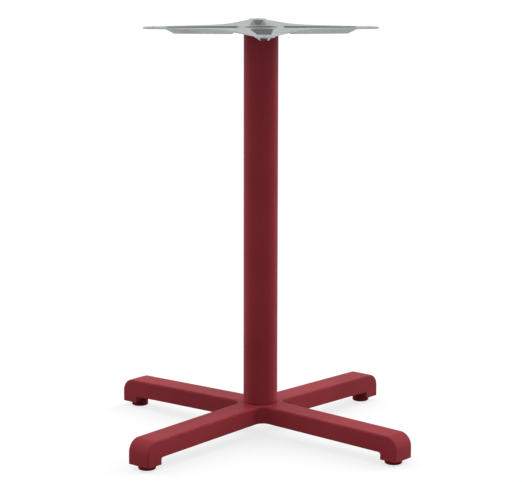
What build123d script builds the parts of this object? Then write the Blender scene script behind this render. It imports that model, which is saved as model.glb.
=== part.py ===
from build123d import *
import os
from math import atan2, cos, radians, sin, sqrt, tan

# Table base: a cast cross foot, a round column and a pressed top plate, clamped together by a tie rod.
# Millimetres. The origin is on the floor under the column axis, +Z is up, and the legs lie along X and Y.

# Whole base
overall_height = 720.0  # floor to the top face of the plate

# Cross base, one aluminium casting
leg_reach = 316.0  # column axis to leg tip
leg_width = 46.0
leg_depth = 30.5  # top face to open underside
leg_fall = 1.2  # degrees, the top face falls outwards
hub_height = 57.0  # floor to the face that the column stands on
seat_margin = 3.0  # flat face left around the column
seat_rim = 0.5  # least distance from that face to a rounded edge
nose_radius = 23.0  # round of the leg's end, seen from the side
skirt_length = 32.0  # downturned wall round the leg's end
skirt_clearance = 9.0  # floor to the skirt's lower edge
knee_radius = 4.0  # corner between leg underside and skirt
edge_radius = 3.0  # long top edges and the skirt's upright corners
crotch_radius = 16.0  # corner between two legs, seen from above
side_wall = 4.0
top_wall = 5.0
rib_thickness = 3.0
rib_setback = 8.0  # ribs stop this far above the open underside
rib_count = 3
rib_start = 95.0  # column axis to the first rib
rib_pitch = 62.0
hub_boss_diameter = 36.0
hub_boss_depth = 14.0  # seat face down to the washer's face
spigot_height = 14.0  # ring that centres the column
spigot_wall = 4.0
spigot_clearance = 0.2
spigot_chamfer = 1.0

# Column, round steel tube
column_diameter = 60.0
column_wall = 2.0
column_edge = 0.5  # broken outer edge at each end

# Top plate, pressed from one sheet
plate_thickness = 2.5
plate_reach = 203.0  # column axis to arm tip
plate_crotch = 84.0  # column axis to the corner where the edges of two arms would meet
plate_crotch_radius = 90.0
tab_radius = 16.0  # round end of each arm
tab_length = 30.0  # straight flat end of each arm
tab_bend = 30.0  # radius between the straight end and the tapered arm
plate_turn = 42.0  # degrees from the legs to the arms
plate_hole_diameter = 7.0
plate_hole_setback = 18.0  # arm tip to the screw hole
pan_depth = 10.5  # top face down to the column's end
pan_overhang = 0.5  # pan wall outside the column's face
cup_depth = 8.0  # step of the pan that goes into the column
cup_clearance = 0.3
rim_bend = 4.0  # outer radius of the pan's rim
step_bend = 0.8  # bends of the pan's step
trough_depth = 11.0  # top face down to the trough's underside
trough_start = 37.0  # column axis to the trough's mouth
trough_end = 166.0
trough_start_slope = 14.0  # plan length of the sloped ends
trough_end_slope = 17.0
trough_start_width = 42.0
trough_end_width = 22.0
trough_side_slope = 5.0  # plan width of each sloped side
trough_corner = 6.0  # corners of the mouth, seen from above
trough_floor_corner = 3.0
trough_bend = 2.0  # bends along the mouth and the floor

# Tie rod with its nuts and washers
rod_diameter = 10.0
rod_overhang = 2.5  # rod end beyond each nut
rod_chamfer = 1.0
rod_hole_clearance = 0.5
thread_clearance = 0.05
nut_height = 8.0
nut_width = 17.0  # across flats
nut_corner_turn = 0.95  # turned face over the width
nut_corner_angle = 30.0  # degrees, slope of the turned corners
top_washer_diameter = 20.0
top_washer_thickness = 2.0
base_washer_diameter = 30.0
base_washer_thickness = 3.0

# Glides and their screws
glide_diameter = 30.0
glide_height = 12.0  # floor to the boss that the glide is screwed to
glide_setback = 22.0  # leg tip to the glide's centre
glide_edge = 1.5  # bevel of the lower edge
glide_recess_diameter = 12.0
glide_recess_depth = 4.5
glide_boss_diameter = 16.0
screw_diameter = 5.0
screw_reach = 18.0  # thread inside the casting
screw_hole_spare = 3.0  # hole deeper than the thread
screw_head_diameter = 9.5
screw_head_height = 3.0
screw_head_edge = 0.6
screw_socket_width = 3.0  # across flats
screw_socket_depth = 1.8

# Places that several pieces share
legs = {"right": 0, "rear": 90, "left": 180, "front": 270}
quarter = 360 / len(legs)
hexagon_sides = 6
column_radius = column_diameter / 2
column_bore_radius = column_radius - column_wall
column_top = overall_height - pan_depth
seat_radius = column_radius + seat_margin
skirt_start = leg_reach - skirt_length
crotch_reach = leg_width / sqrt(2) + crotch_radius * (sqrt(2) - 1)  # column axis to the corner of two legs
edge_round = min(edge_radius, crotch_reach - seat_radius - seat_rim)
glide_circle = leg_reach - glide_setback
rod_hole_radius = rod_diameter / 2 + rod_hole_clearance
thread_radius = rod_diameter / 2 + thread_clearance
screw_hole_radius = screw_diameter / 2 + thread_clearance
boss_face = hub_height - hub_boss_depth
cup_floor = column_top + plate_thickness - cup_depth
touching = 0.01  # two places closer than this count as one

os.makedirs("parts", exist_ok=True)


def leg_top(radius):
    """Height of the casting's top face at a distance from the column axis."""
    return hub_height - max(0, radius - seat_radius) * tan(radians(leg_fall))


def spot(radius, angle):
    """Point at a distance from the column axis, in a direction given in degrees."""
    return (radius * cos(radians(angle)), radius * sin(radians(angle)))


def on_leg_edge(edge):
    """Whether an edge runs along a leg's top or down the upright corner of its end."""
    middle = edge @ 0.5
    across, along = sorted((abs(middle.X), abs(middle.Y)))
    beside_leg = across > leg_width / 2 - touching
    on_top = middle.Z > leg_top(along) - leg_depth / 2
    on_end = along > leg_reach - edge_radius and middle.Z > skirt_clearance + touching
    return beside_leg and (on_top or on_end)


# Hollow of the casting: leg channels that leave the ribs and bosses standing
with BuildPart() as core:
    with BuildSketch(Plane.XZ) as core_section:
        core_reach = leg_reach - side_wall
        with BuildLine():
            Polyline(
                (0, 0),
                (core_reach, 0),
                (core_reach, leg_top(core_reach) - top_wall),
                (seat_radius, hub_height - top_wall),
                (0, hub_height - top_wall),
                close=True,
            )
        make_face()
        core_nose = core_section.vertices().group_by(Axis.X)[-1].sort_by(Axis.Y)[-1]
        fillet(core_nose, nose_radius - side_wall)
    revolve(axis=Axis.Z)
    with BuildSketch() as core_outline:
        core_width = leg_width - 2 * side_wall
        Rectangle(2 * leg_reach, core_width)
        Rectangle(core_width, 2 * leg_reach)
        core_corners = core_outline.vertices().sort_by_distance((0, 0, 0))[: len(legs)]
        fillet(core_corners, crotch_radius + side_wall)
    extrude(amount=hub_height, mode=Mode.INTERSECT)
    with BuildSketch(Plane.XY.offset(boss_face)):
        Circle(hub_boss_diameter / 2)
    extrude(amount=hub_height, mode=Mode.SUBTRACT)
    with BuildSketch(Plane.XY.offset(hub_height - leg_depth + rib_setback)):
        rib_places = [rib_start + rib * rib_pitch for rib in range(rib_count)]
        for place in [*rib_places, glide_circle]:
            with PolarLocations(place, len(legs)):
                Rectangle(rib_thickness, leg_width)
        with PolarLocations(hub_boss_diameter / 2 + crotch_radius, len(legs), start_angle=quarter / 2):
            Rectangle(2 * crotch_radius, rib_thickness)
    extrude(amount=hub_height, mode=Mode.SUBTRACT)
    # At each glide stand its boss, the wall that closes the skirt's inner end and a rib along the leg
    with BuildSketch(Plane.XY.offset(glide_height)):
        with PolarLocations(glide_circle, len(legs)):
            Circle(glide_boss_diameter / 2)
        with PolarLocations(skirt_start, len(legs)):
            Rectangle(2 * rib_thickness, leg_width)
        with PolarLocations(leg_reach - skirt_length / 2, len(legs)):
            Rectangle(skirt_length, rib_thickness)
    extrude(amount=hub_height, mode=Mode.SUBTRACT)

# Cross base: one half-section turned about the column axis and trimmed to the cross
with BuildPart() as cross_base:
    with BuildSketch(Plane.XZ) as leg_section:
        with BuildLine():
            Polyline(
                (0, hub_height),
                (seat_radius, hub_height),
                (leg_reach, leg_top(leg_reach)),
                (leg_reach, skirt_clearance),
                (skirt_start, skirt_clearance),
                (skirt_start, leg_top(skirt_start) - leg_depth),
                (seat_radius, hub_height - leg_depth),
                (0, hub_height - leg_depth),
                close=True,
            )
        make_face()
        nose = leg_section.vertices().group_by(Axis.X)[-1].sort_by(Axis.Y)[-1]
        fillet(nose, nose_radius)
        knee = leg_section.vertices().sort_by_distance((skirt_start, leg_top(skirt_start) - leg_depth))[0]
        fillet(knee, knee_radius)
    revolve(axis=Axis.Z)
    with BuildSketch() as cross_outline:
        outline_length = 2 * (leg_reach + leg_width)  # past the turned ends
        Rectangle(outline_length, leg_width)
        Rectangle(leg_width, outline_length)
        crotches = cross_outline.vertices().sort_by_distance((0, 0, 0))[: len(legs)]
        fillet(crotches, crotch_radius)
    extrude(amount=2 * hub_height, mode=Mode.INTERSECT)
    fillet(cross_base.edges().filter_by(on_leg_edge), edge_round)
    add(core.part, mode=Mode.SUBTRACT)
    with BuildSketch(Plane.XY.offset(hub_height)):
        spigot_radius = column_bore_radius - spigot_clearance
        Circle(spigot_radius)
        Circle(spigot_radius - spigot_wall, mode=Mode.SUBTRACT)
    extrude(amount=spigot_height)
    chamfer(cross_base.edges().group_by(Axis.Z)[-1], spigot_chamfer)
    with BuildSketch(Plane.XY.offset(boss_face)):
        Circle(rod_hole_radius)
    extrude(amount=hub_boss_depth, mode=Mode.SUBTRACT)
    with BuildSketch(Plane.XY.offset(glide_height)):
        with PolarLocations(glide_circle, len(legs)):
            Circle(screw_hole_radius)
    extrude(amount=screw_reach + screw_hole_spare, mode=Mode.SUBTRACT)
cross_base.part.label = "cross_base"
export_step(cross_base.part, "parts/cross_base.step")

# Column tube, between the casting's seat and the plate's pan
with BuildPart() as column_tube:
    with BuildSketch(Plane.XY.offset(hub_height)):
        Circle(column_radius)
        Circle(column_bore_radius, mode=Mode.SUBTRACT)
    extrude(amount=column_top - hub_height)
    end_edges = column_tube.edges().filter_by(GeomType.CIRCLE).group_by(SortBy.RADIUS)[-1]
    chamfer(end_edges, column_edge)
column_tube.part.label = "column_tube"
export_step(column_tube.part, "parts/column_tube.step")


def trough_outline(angle, height, start_growth, end_growth, side_growth, corner):
    """Rounded trapezoid along one arm, grown from the size of the trough's mouth."""
    along_arm = Plane((0, 0, height), x_dir=(*spot(1, angle), 0), z_dir=(0, 0, 1))
    first = trough_start - start_growth
    last = trough_end + end_growth
    first_half = trough_start_width / 2 + side_growth
    last_half = trough_end_width / 2 + side_growth
    with BuildSketch(along_arm) as outline:
        with BuildLine():
            Polyline(
                (first, -first_half),
                (last, -last_half),
                (last, last_half),
                (first, first_half),
                close=True,
            )
        make_face()
        fillet(outline.vertices(), corner)
    return outline.sketch


def sheet_growth(slope):
    """Growth of a sloped wall's outer side at the top face and at the underside."""
    steepness = atan2(trough_depth - plate_thickness, slope)
    return plate_thickness / sin(steepness), plate_thickness * tan(steepness / 2) - slope


# Top plate: flat star, four troughs and a stepped round pan, all of one sheet thickness
plate_under = overall_height - plate_thickness
trough_floor = overall_height - trough_depth + plate_thickness
trough_under = overall_height - trough_depth
arm_angles = [plate_turn + turn for turn in legs.values()]
slopes = (trough_start_slope, trough_end_slope, trough_side_slope)
floor_growths = [-slope for slope in slopes]
outer_mouth_growths, outer_under_growths = zip(*[sheet_growth(slope) for slope in slopes])
with BuildPart() as top_plate:
    with BuildSketch(Plane.XY.offset(plate_under)) as star:
        with BuildLine():
            for angle in arm_angles:
                arm = Plane.XY.rotated((0, 0, angle))
                next_arm = Plane.XY.rotated((0, 0, angle + quarter))
                flat_start = plate_reach - tab_length
                tab_centre = plate_reach - tab_radius
                right_side = arm.from_local_coords((flat_start, -tab_radius, 0))
                right_tab = arm.from_local_coords((tab_centre, -tab_radius, 0))
                tip = arm.from_local_coords((plate_reach, 0, 0))
                left_tab = arm.from_local_coords((tab_centre, tab_radius, 0))
                left_side = arm.from_local_coords((flat_start, tab_radius, 0))
                crotch = spot(plate_crotch, angle + quarter / 2)
                next_side = next_arm.from_local_coords((flat_start, -tab_radius, 0))
                Line(right_side, right_tab)
                ThreePointArc(right_tab, tip, left_tab)
                Polyline(left_tab, left_side, crotch, next_side)
        make_face()
        # Nearest the axis are the crotches, then two corners to an arm where the straight ends begin
        tab_corners = star.vertices().sort_by_distance((0, 0, 0))[len(legs) : 3 * len(legs)]
        fillet(tab_corners, tab_bend)
        fillet(star.vertices().sort_by_distance((0, 0, 0))[: len(legs)], plate_crotch_radius)
    extrude(amount=plate_thickness)
    for angle in arm_angles:
        outer_mouth = trough_outline(
            angle, overall_height, *outer_mouth_growths, trough_corner + plate_thickness
        )
        outer_under = trough_outline(angle, trough_under, *outer_under_growths, trough_floor_corner)
        loft([outer_mouth, outer_under])
    for angle in arm_angles:
        mouth = trough_outline(angle, overall_height, 0, 0, 0, trough_corner)
        floor = trough_outline(angle, trough_floor, *floor_growths, trough_floor_corner)
        loft([mouth, floor], mode=Mode.SUBTRACT)
    top_face = top_plate.faces().sort_by(Axis.Z)[-1]
    fillet([edge for wire in top_face.inner_wires() for edge in wire.edges()], trough_bend)
    under_faces = top_plate.faces().group_by(Axis.Z)[0]
    fillet(under_faces.edges(), trough_bend)
    pan_wall = column_radius + pan_overhang
    pan_radius = pan_wall - plate_thickness
    cup_wall = column_bore_radius - cup_clearance
    cup_radius = cup_wall - plate_thickness
    rim_reach = pan_wall + rim_bend
    step_face = column_top + plate_thickness
    with BuildSketch(Plane.XY.offset(plate_under)):
        Circle(rim_reach)
    extrude(amount=plate_thickness, mode=Mode.SUBTRACT)
    with BuildSketch(Plane.XZ) as pan_section:
        with BuildLine():
            Polyline(
                (rod_hole_radius, cup_floor),
                (cup_radius, cup_floor),
                (cup_radius, step_face),
                (pan_radius, step_face),
                (pan_radius, overall_height),
                (rim_reach, overall_height),
                (rim_reach, plate_under),
                (pan_wall, plate_under),
                (pan_wall, column_top),
                (cup_wall, column_top),
                (cup_wall, cup_floor - plate_thickness),
                (rod_hole_radius, cup_floor - plate_thickness),
                close=True,
            )
        make_face()
        rim_top = pan_section.vertices().sort_by_distance((pan_radius, overall_height))[0]
        fillet(rim_top, rim_bend)
        rim_under = pan_section.vertices().sort_by_distance((pan_wall, plate_under))[0]
        fillet(rim_under, rim_bend - plate_thickness)
        steps = [(cup_radius, cup_floor), (cup_wall, cup_floor - plate_thickness)]
        steps += [(cup_radius, step_face), (pan_radius, step_face), (pan_wall, column_top)]
        for step in steps:
            fillet(pan_section.vertices().sort_by_distance(step)[0], step_bend)
    revolve(axis=Axis.Z)
    with BuildSketch(Plane.XY.offset(plate_under)):
        with PolarLocations(plate_reach - plate_hole_setback, len(legs), start_angle=plate_turn):
            Circle(plate_hole_diameter / 2)
    extrude(amount=plate_thickness, mode=Mode.SUBTRACT)
top_plate.part.label = "top_plate"
export_step(top_plate.part, "parts/top_plate.step")


def washer(outer_diameter, thickness, height):
    """Flat ring round the tie rod, with its lower face at a height."""
    with BuildPart() as ring:
        with BuildSketch(Plane.XY.offset(height)):
            Circle(outer_diameter / 2)
            Circle(rod_hole_radius, mode=Mode.SUBTRACT)
        extrude(amount=thickness)
    return ring


def nut(height):
    """Hexagon nut on the tie rod, its corners turned down, with its lower face at a height."""
    corner_radius = nut_width / sqrt(3)
    turned_radius = nut_width / 2 * nut_corner_turn
    turned_depth = (corner_radius - turned_radius) * tan(radians(nut_corner_angle))
    with BuildPart() as hexagon:
        with BuildSketch(Plane.XY.offset(height)):
            RegularPolygon(nut_width / 2, hexagon_sides, major_radius=False)
            Circle(thread_radius, mode=Mode.SUBTRACT)
        extrude(amount=nut_height)
        with BuildSketch(Plane.XZ):
            with BuildLine():
                Polyline(
                    (0, height),
                    (turned_radius, height),
                    (corner_radius, height + turned_depth),
                    (corner_radius, height + nut_height - turned_depth),
                    (turned_radius, height + nut_height),
                    (0, height + nut_height),
                    close=True,
                )
            make_face()
        revolve(axis=Axis.Z, mode=Mode.INTERSECT)
    return hexagon


# Washers and nuts that clamp the plate in its cup and the casting at its boss
base_washer_face = boss_face - base_washer_thickness
base_nut_face = base_washer_face - nut_height
top_nut_face = cup_floor + top_washer_thickness
top_washer = washer(top_washer_diameter, top_washer_thickness, cup_floor)
base_washer = washer(base_washer_diameter, base_washer_thickness, base_washer_face)
top_nut = nut(top_nut_face)
base_nut = nut(base_nut_face)
clamps = {"top_washer": top_washer, "base_washer": base_washer, "top_nut": top_nut, "base_nut": base_nut}
for name, clamp in clamps.items():
    clamp.part.label = name
    export_step(clamp.part, f"parts/{name}.step")

# Tie rod from below the base nut to above the top nut
rod_start = base_nut_face - rod_overhang
rod_end = top_nut_face + nut_height + rod_overhang
with BuildPart() as tie_rod:
    with BuildSketch(Plane.XY.offset(rod_start)):
        Circle(rod_diameter / 2)
    extrude(amount=rod_end - rod_start)
    chamfer(tie_rod.edges().filter_by(GeomType.CIRCLE), rod_chamfer)
tie_rod.part.label = "tie_rod"
export_step(tie_rod.part, "parts/tie_rod.step")

# Glides and their screws, one pair inside each leg's skirt
for name, angle in legs.items():
    foot = Plane((*spot(glide_circle, angle), 0))
    with BuildPart() as glide:
        with BuildSketch(foot):
            Circle(glide_diameter / 2)
        extrude(amount=glide_height)
        chamfer(glide.edges().group_by(Axis.Z)[0], glide_edge)
        with BuildSketch(foot):
            Circle(glide_recess_diameter / 2)
        extrude(amount=glide_recess_depth, mode=Mode.SUBTRACT)
        with BuildSketch(foot):
            Circle(screw_hole_radius)
        extrude(amount=glide_height, mode=Mode.SUBTRACT)
    glide.part.label = f"glide_{name}"
    export_step(glide.part, f"parts/glide_{name}.step")
    with BuildPart() as glide_screw:
        with BuildSketch(foot.offset(glide_recess_depth)):
            Circle(screw_head_diameter / 2)
        extrude(amount=-screw_head_height)
        chamfer(glide_screw.edges().group_by(Axis.Z)[0], screw_head_edge)
        with BuildSketch(foot.offset(glide_recess_depth)):
            Circle(screw_diameter / 2)
        extrude(amount=glide_height - glide_recess_depth + screw_reach)
        with BuildSketch(foot.offset(glide_recess_depth - screw_head_height)):
            RegularPolygon(screw_socket_width / 2, hexagon_sides, major_radius=False)
        extrude(amount=screw_socket_depth, mode=Mode.SUBTRACT)
    glide_screw.part.label = f"glide_screw_{name}"
    export_step(glide_screw.part, f"parts/glide_screw_{name}.step")
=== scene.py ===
import math

import bpy
from mathutils import Matrix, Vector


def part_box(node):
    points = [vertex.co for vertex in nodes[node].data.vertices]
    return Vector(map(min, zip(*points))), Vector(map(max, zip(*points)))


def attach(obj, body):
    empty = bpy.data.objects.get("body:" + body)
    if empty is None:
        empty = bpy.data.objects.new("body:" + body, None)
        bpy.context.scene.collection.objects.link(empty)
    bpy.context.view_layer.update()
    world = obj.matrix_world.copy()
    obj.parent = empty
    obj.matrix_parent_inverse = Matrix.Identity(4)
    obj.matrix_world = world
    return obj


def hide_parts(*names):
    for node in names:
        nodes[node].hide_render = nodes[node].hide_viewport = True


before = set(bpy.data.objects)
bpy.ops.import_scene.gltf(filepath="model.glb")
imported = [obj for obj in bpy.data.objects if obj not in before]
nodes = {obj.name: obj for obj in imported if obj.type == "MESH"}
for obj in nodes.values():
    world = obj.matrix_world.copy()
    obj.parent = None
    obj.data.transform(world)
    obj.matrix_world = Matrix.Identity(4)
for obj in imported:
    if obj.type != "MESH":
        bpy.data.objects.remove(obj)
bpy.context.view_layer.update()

# Metres and degrees. Colours are linear. The scale of a noise is its number of cells to the metre,
# and a share is the part that it has in a mix.

# Camera at the photograph's place, turned about the column axis from the front leg
camera_turn = 40.04
camera_distance = 3.4997
camera_side = 0.0006
camera_height = 0.9919
camera_pitch = 10.455
camera_roll = 0.12
camera_lens = 140.16  # millimetres, on a sensor 36 mm wide

# Burgundy powder coat
coat_deep = (0.245, 0.0245, 0.0335, 1)
coat_light = (0.315, 0.0335, 0.0450, 1)
coat_gloss = 0.08
coat_roughness = (0.40, 0.56)
coat_tone_range = (0.36, 0.64)  # of the mixed noise, from deep to light
coat_cloud_scale = 9
coat_cloud_share = 0.6
coat_grain_scale = 1500
coat_grain_share = 0.4
coat_grain_roughness = 0.6
coat_grain_depth = 0.00008
coat_grain_strength = 0.6
coat_ripple_scale = 160
coat_ripple_strength = 0.5
casting_ripple_depth = 0.0006
tube_ripple_depth = 0.0003

# Bright zinc plating
zinc_dark = (0.340, 0.375, 0.385, 1)
zinc_light = (0.450, 0.485, 0.495, 1)
zinc_metallic = 0.8  # share that mirrors, the rest scatters
zinc_roughness = (0.14, 0.28)
zinc_streak_scale = 900
zinc_streak_detail = 3
zinc_streak_roughness = 0.65
zinc_streak_share = 0.45
zinc_streak_depth = 0.00004
zinc_streak_strength = 0.2
zinc_cloud_scale = 22
zinc_cloud_detail = 4
zinc_cloud_roughness = 0.6
zinc_cloud_share = 0.4
zinc_cloud_depth = 0.0005
zinc_cloud_strength = 0.15
zinc_crystal_scale = 160
zinc_crystal_share = 0.15
bloom_cloud_share = 0.6
bloom_streak_share = 0.4
sheet_stretch = (1.0, 0.06, 1.0)  # streaks drawn out along Y
fastener_stretch = (1.0, 1.0, 0.3)  # and along Z

# Moulded nylon
nylon_dark = (0.16, 0.0105, 0.0155, 1)
nylon_light = (0.23, 0.0150, 0.0220, 1)
nylon_gloss = 0.08
nylon_roughness = (0.5, 0.7)
nylon_tone_range = (0.35, 0.65)
nylon_grain_scale = 2200
nylon_grain_share = 0.4
nylon_grain_depth = 0.00006
nylon_grain_strength = 0.5
nylon_cloud_scale = 120
nylon_cloud_share = 0.6

# All finishes
noise_range = (0.3, 0.7)  # holds nearly all values of a noise
colour_inputs = (6, 7)  # of a Mix node that mixes colours
colour_output = 2

# Thread at each end of the tie rod, M10
thread_pitch = 0.0015
thread_depth = 0.0009
thread_length = 0.021
thread_runout = 0.003
thread_chamfer = 0.001
thread_rings = 8  # to one turn
thread_sides = 32

# Studio
floor_size = 60.0
floor_albedo = (0.22, 0.22, 0.22, 1)
floor_glow = 0.75
ambient = 0.55
backdrop_side = 0.68  # brightness of the backdrop all round, as metal shows it
backdrop_top = 0.2  # and overhead
backdrop_edge = (0.45, 0.85)  # sine of the elevation where it starts and stops darkening
white = (1, 1, 1, 1)

# Lamps: strength, bearing from the picture's right, elevation and spread
overhead_lamp = (1.2, 90, 78, 70)
right_lamp = (2.3, 30, 20, 60)
left_lamp = (1.4, 150, 20, 60)


def new_material(name):
    """Material with a Principled shader, its node tree and the shader."""
    material = bpy.data.materials.new(name)
    material.use_nodes = True
    tree = material.node_tree
    return material, tree, tree.nodes["Principled BSDF"]


def place_coordinates(tree, stretch=(1, 1, 1)):
    """Coordinates fixed to the object, in metres, stretched along its axes."""
    source = tree.nodes.new("ShaderNodeTexCoord")
    mapping = tree.nodes.new("ShaderNodeMapping")
    mapping.inputs["Scale"].default_value = stretch
    tree.links.new(source.outputs["Object"], mapping.inputs["Vector"])
    return mapping.outputs["Vector"]


def noise(tree, coordinates, scale, detail=2, roughness=0.5):
    """Noise with a number of cells to the metre."""
    node = tree.nodes.new("ShaderNodeTexNoise")
    node.inputs["Scale"].default_value = scale
    node.inputs["Detail"].default_value = detail
    node.inputs["Roughness"].default_value = roughness
    tree.links.new(coordinates, node.inputs["Vector"])
    return node.outputs["Fac"]


def crystals(tree, coordinates, scale):
    """Patches of even brightness, with a number of them to the metre."""
    patches = tree.nodes.new("ShaderNodeTexVoronoi")
    patches.inputs["Scale"].default_value = scale
    tree.links.new(coordinates, patches.inputs["Vector"])
    brightness = tree.nodes.new("ShaderNodeRGBToBW")
    tree.links.new(patches.outputs["Color"], brightness.inputs["Color"])
    return brightness.outputs["Val"]


def spread(tree, value, low, high, to_low=0.0, to_high=1.0):
    """A value's range mapped to another, clamped."""
    node = tree.nodes.new("ShaderNodeMapRange")
    node.inputs["From Min"].default_value = low
    node.inputs["From Max"].default_value = high
    node.inputs["To Min"].default_value = to_low
    node.inputs["To Max"].default_value = to_high
    tree.links.new(value, node.inputs["Value"])
    return node.outputs["Result"]


def combine(tree, operation, first, second):
    """Math node on two values, each an output or a number."""
    node = tree.nodes.new("ShaderNodeMath")
    node.operation = operation
    for socket, value in zip(node.inputs, (first, second)):
        if isinstance(value, (int, float)):
            socket.default_value = value
        else:
            tree.links.new(value, socket)
    return node.outputs["Value"]


def add_shares(tree, first, *others):
    """Sum of values, each given with its share."""
    total = combine(tree, "MULTIPLY", *first)
    for other in others:
        total = combine(tree, "ADD", total, combine(tree, "MULTIPLY", *other))
    return total


def mix_colours(tree, factor, first, second):
    """Colour between two fixed ones."""
    node = tree.nodes.new("ShaderNodeMix")
    node.data_type = "RGBA"
    tree.links.new(factor, node.inputs["Factor"])
    for place, colour in zip(colour_inputs, (first, second)):
        node.inputs[place].default_value = colour
    return node.outputs[colour_output]


def bump(tree, height, depth, strength, below=None):
    """Bump of a depth in metres, over another bump if one is given."""
    node = tree.nodes.new("ShaderNodeBump")
    node.inputs["Distance"].default_value = depth
    node.inputs["Strength"].default_value = strength
    tree.links.new(height, node.inputs["Height"])
    if below is not None:
        tree.links.new(below, node.inputs["Normal"])
    return node.outputs["Normal"]


def powder_coat(name, ripple_depth):
    """Burgundy powder coat: a fine grain over the slow ripple of the coat."""
    material, tree, shader = new_material(name)
    where = place_coordinates(tree)
    cloud = noise(tree, where, coat_cloud_scale)
    grain = noise(tree, where, coat_grain_scale, roughness=coat_grain_roughness)
    ripple = noise(tree, where, coat_ripple_scale)
    mixed = add_shares(tree, (cloud, coat_cloud_share), (grain, coat_grain_share))
    colour = mix_colours(tree, spread(tree, mixed, *coat_tone_range), coat_deep, coat_light)
    roughness = spread(tree, grain, *noise_range, *coat_roughness)
    surface = bump(tree, ripple, ripple_depth, coat_ripple_strength)
    surface = bump(tree, grain, coat_grain_depth, coat_grain_strength, surface)
    tree.links.new(colour, shader.inputs["Base Color"])
    tree.links.new(roughness, shader.inputs["Roughness"])
    tree.links.new(surface, shader.inputs["Normal"])
    shader.inputs["Specular IOR Level"].default_value = coat_gloss
    return material


def zinc(name, stretch):
    """Bright zinc plating on rolled steel: faint streaks, patches of crystal and a satin bloom."""
    material, tree, shader = new_material(name)
    along = place_coordinates(tree, stretch)
    where = place_coordinates(tree)
    streaks = noise(tree, along, zinc_streak_scale, zinc_streak_detail, zinc_streak_roughness)
    cloud = noise(tree, where, zinc_cloud_scale, zinc_cloud_detail, zinc_cloud_roughness)
    crystal = crystals(tree, where, zinc_crystal_scale)
    mixed = add_shares(
        tree, (streaks, zinc_streak_share), (cloud, zinc_cloud_share), (crystal, zinc_crystal_share)
    )
    colour = mix_colours(tree, spread(tree, mixed, *noise_range), zinc_dark, zinc_light)
    bloom = add_shares(tree, (cloud, bloom_cloud_share), (streaks, bloom_streak_share))
    roughness = spread(tree, bloom, *noise_range, *zinc_roughness)
    surface = bump(tree, streaks, zinc_streak_depth, zinc_streak_strength)
    surface = bump(tree, cloud, zinc_cloud_depth, zinc_cloud_strength, surface)
    tree.links.new(colour, shader.inputs["Base Color"])
    tree.links.new(roughness, shader.inputs["Roughness"])
    tree.links.new(surface, shader.inputs["Normal"])
    shader.inputs["Metallic"].default_value = zinc_metallic
    return material


def nylon(name):
    """Matt moulded nylon with a fine sparked texture."""
    material, tree, shader = new_material(name)
    where = place_coordinates(tree)
    grain = noise(tree, where, nylon_grain_scale)
    cloud = noise(tree, where, nylon_cloud_scale)
    mixed = add_shares(tree, (grain, nylon_grain_share), (cloud, nylon_cloud_share))
    colour = mix_colours(tree, spread(tree, mixed, *nylon_tone_range), nylon_dark, nylon_light)
    roughness = spread(tree, grain, *noise_range, *nylon_roughness)
    surface = bump(tree, grain, nylon_grain_depth, nylon_grain_strength)
    tree.links.new(colour, shader.inputs["Base Color"])
    tree.links.new(roughness, shader.inputs["Roughness"])
    tree.links.new(surface, shader.inputs["Normal"])
    shader.inputs["Specular IOR Level"].default_value = nylon_gloss
    return material


def dress(material, *names):
    """Gives CAD nodes a material."""
    for name in names:
        slots = nodes[name].data.materials
        slots.clear()
        slots.append(material)


def thread_radius(height, turn, low, high, crest):
    """Radius of the threaded rod at a height and a share of a turn."""
    from_end = min(height - low, high - height)
    wave = abs((height / thread_pitch - turn) % 1 * 2 - 1)
    fade = min(1, max(0, (thread_length - from_end) / thread_runout))
    return min(crest - thread_depth * fade * wave, crest - thread_chamfer + from_end)


def make_threaded_rod(material):
    """Tie rod with a screw thread at each end, in place of the plain one."""
    box_low, box_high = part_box("tie_rod")
    low, high = box_low[2], box_high[2]
    crest = (box_high[0] - box_low[0]) / 2
    step = thread_pitch / thread_rings
    lower = [low + ring * step for ring in range(round(thread_length / step) + 1)]
    heights = lower + [low + high - height for height in reversed(lower)]
    turns = [side / thread_sides for side in range(thread_sides)]
    points = []
    for height in heights:
        for turn in turns:
            radius = thread_radius(height, turn, low, high, crest)
            angle = math.tau * turn
            points.append((radius * math.cos(angle), radius * math.sin(angle), height))
    first_end = tuple(reversed(range(thread_sides)))
    last_end = tuple(range(len(points) - thread_sides, len(points)))
    faces = [first_end, last_end]
    for ring in range(len(heights) - 1):
        for side in range(thread_sides):
            here, beside = (ring * thread_sides + place % thread_sides for place in (side, side + 1))
            faces.append((here, beside, beside + thread_sides, here + thread_sides))
    mesh = bpy.data.meshes.new("threaded_rod")
    mesh.from_pydata(points, [], faces)
    mesh.materials.append(material)
    for face in mesh.polygons[2:]:
        face.use_smooth = True
    rod = bpy.data.objects.new("threaded_rod", mesh)
    bpy.context.scene.collection.objects.link(rod)
    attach(rod, "root")
    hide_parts("tie_rod")


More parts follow.
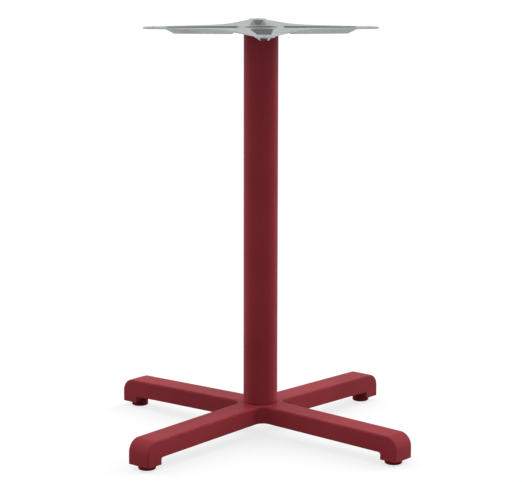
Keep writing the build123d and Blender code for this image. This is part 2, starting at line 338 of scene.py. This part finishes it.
def make_world():
    """White backdrop that metal shows darker overhead, and a plain grey light elsewhere."""
    world = bpy.data.worlds.new("studio")
    bpy.context.scene.world = world
    world.use_nodes = True
    tree = world.node_tree
    backdrop = tree.nodes["Background"]
    backdrop.inputs["Color"].default_value = white
    direction = tree.nodes.new("ShaderNodeTexCoord").outputs["Generated"]
    axes = tree.nodes.new("ShaderNodeSeparateXYZ")
    tree.links.new(direction, axes.inputs["Vector"])
    mirrored = spread(tree, axes.outputs["Z"], *backdrop_edge, backdrop_side, backdrop_top)
    rays = tree.nodes.new("ShaderNodeLightPath")
    glossy = rays.outputs["Is Glossy Ray"]
    light = combine(tree, "MULTIPLY", combine(tree, "SUBTRACT", 1.0, glossy), ambient)
    light = combine(tree, "ADD", light, combine(tree, "MULTIPLY", glossy, mirrored))
    seen = combine(tree, "MAXIMUM", rays.outputs["Is Camera Ray"], rays.outputs["Is Transmission Ray"])
    tree.links.new(combine(tree, "MAXIMUM", light, seen), backdrop.inputs["Strength"])


def rays_that_see(tree):
    """1 for rays that show the background: straight, mirrored or through glass."""
    rays = tree.nodes.new("ShaderNodeLightPath")
    seen = combine(tree, "MAXIMUM", rays.outputs["Is Camera Ray"], rays.outputs["Is Glossy Ray"])
    return combine(tree, "MAXIMUM", seen, rays.outputs["Is Transmission Ray"])


def make_floor():
    """Pale floor that melts into the backdrop and keeps the object's shadow."""
    half = floor_size / 2
    corners = [(-half, -half, 0), (half, -half, 0), (half, half, 0), (-half, half, 0)]
    mesh = bpy.data.meshes.new("floor")
    mesh.from_pydata(corners, [], [(0, 1, 2, 3)])
    floor = bpy.data.objects.new("floor", mesh)
    bpy.context.scene.collection.objects.link(floor)
    material, tree, shader = new_material("floor")
    shader.inputs["Base Color"].default_value = floor_albedo
    shader.inputs["Roughness"].default_value = 1.0
    shader.inputs["Specular IOR Level"].default_value = 0.0
    shader.inputs["Emission Color"].default_value = white
    glow = spread(tree, rays_that_see(tree), 0, 1, 0.0, floor_glow)
    tree.links.new(glow, shader.inputs["Emission Strength"])
    mesh.materials.append(material)


def soft_light(name, strength, bearing, elevation, spread_angle):
    """Wide even light, unseen in mirrors, from a bearing and an elevation."""
    lamp = bpy.data.lights.new(name, "SUN")
    lamp.energy = strength
    lamp.angle = math.radians(spread_angle)
    light = bpy.data.objects.new(name, lamp)
    bpy.context.scene.collection.objects.link(light)
    turn = Matrix.Rotation(math.radians(camera_turn + bearing), 4, "Z")
    tilt = Matrix.Rotation(math.radians(90 - elevation), 4, "Y")
    light.matrix_world = turn @ tilt
    light.visible_glossy = False


def make_camera():
    """Camera that frames the base as the photograph does."""
    data = bpy.data.cameras.new("camera")
    data.sensor_fit = "HORIZONTAL"
    data.lens = camera_lens
    camera = bpy.data.objects.new("camera", data)
    bpy.context.scene.collection.objects.link(camera)
    turn = Matrix.Rotation(math.radians(camera_turn), 4, "Z")
    place = Matrix.Translation((camera_side, -camera_distance, camera_height))
    pitch = Matrix.Rotation(math.radians(90 - camera_pitch), 4, "X")
    roll = Matrix.Rotation(math.radians(camera_roll), 4, "Z")
    camera.matrix_world = turn @ place @ pitch @ roll
    bpy.context.scene.camera = camera


legs = ("right", "rear", "left", "front")
dress(powder_coat("coat_on_casting", casting_ripple_depth), "cross_base")
dress(powder_coat("coat_on_tube", tube_ripple_depth), "column_tube")
dress(zinc("zinc_on_sheet", sheet_stretch), "top_plate")
zinc_on_fasteners = zinc("zinc_on_fasteners", fastener_stretch)
dress(zinc_on_fasteners, "top_nut", "top_washer", "base_nut", "base_washer", "tie_rod")
dress(zinc_on_fasteners, *[f"glide_screw_{leg}" for leg in legs])
dress(nylon("glide_nylon"), *[f"glide_{leg}" for leg in legs])
make_threaded_rod(zinc_on_fasteners)

make_world()
make_floor()
soft_light("overhead", *overhead_lamp)
soft_light("right", *right_lamp)
soft_light("left", *left_lamp)
make_camera()
bpy.context.scene.view_settings.view_transform = "Standard"
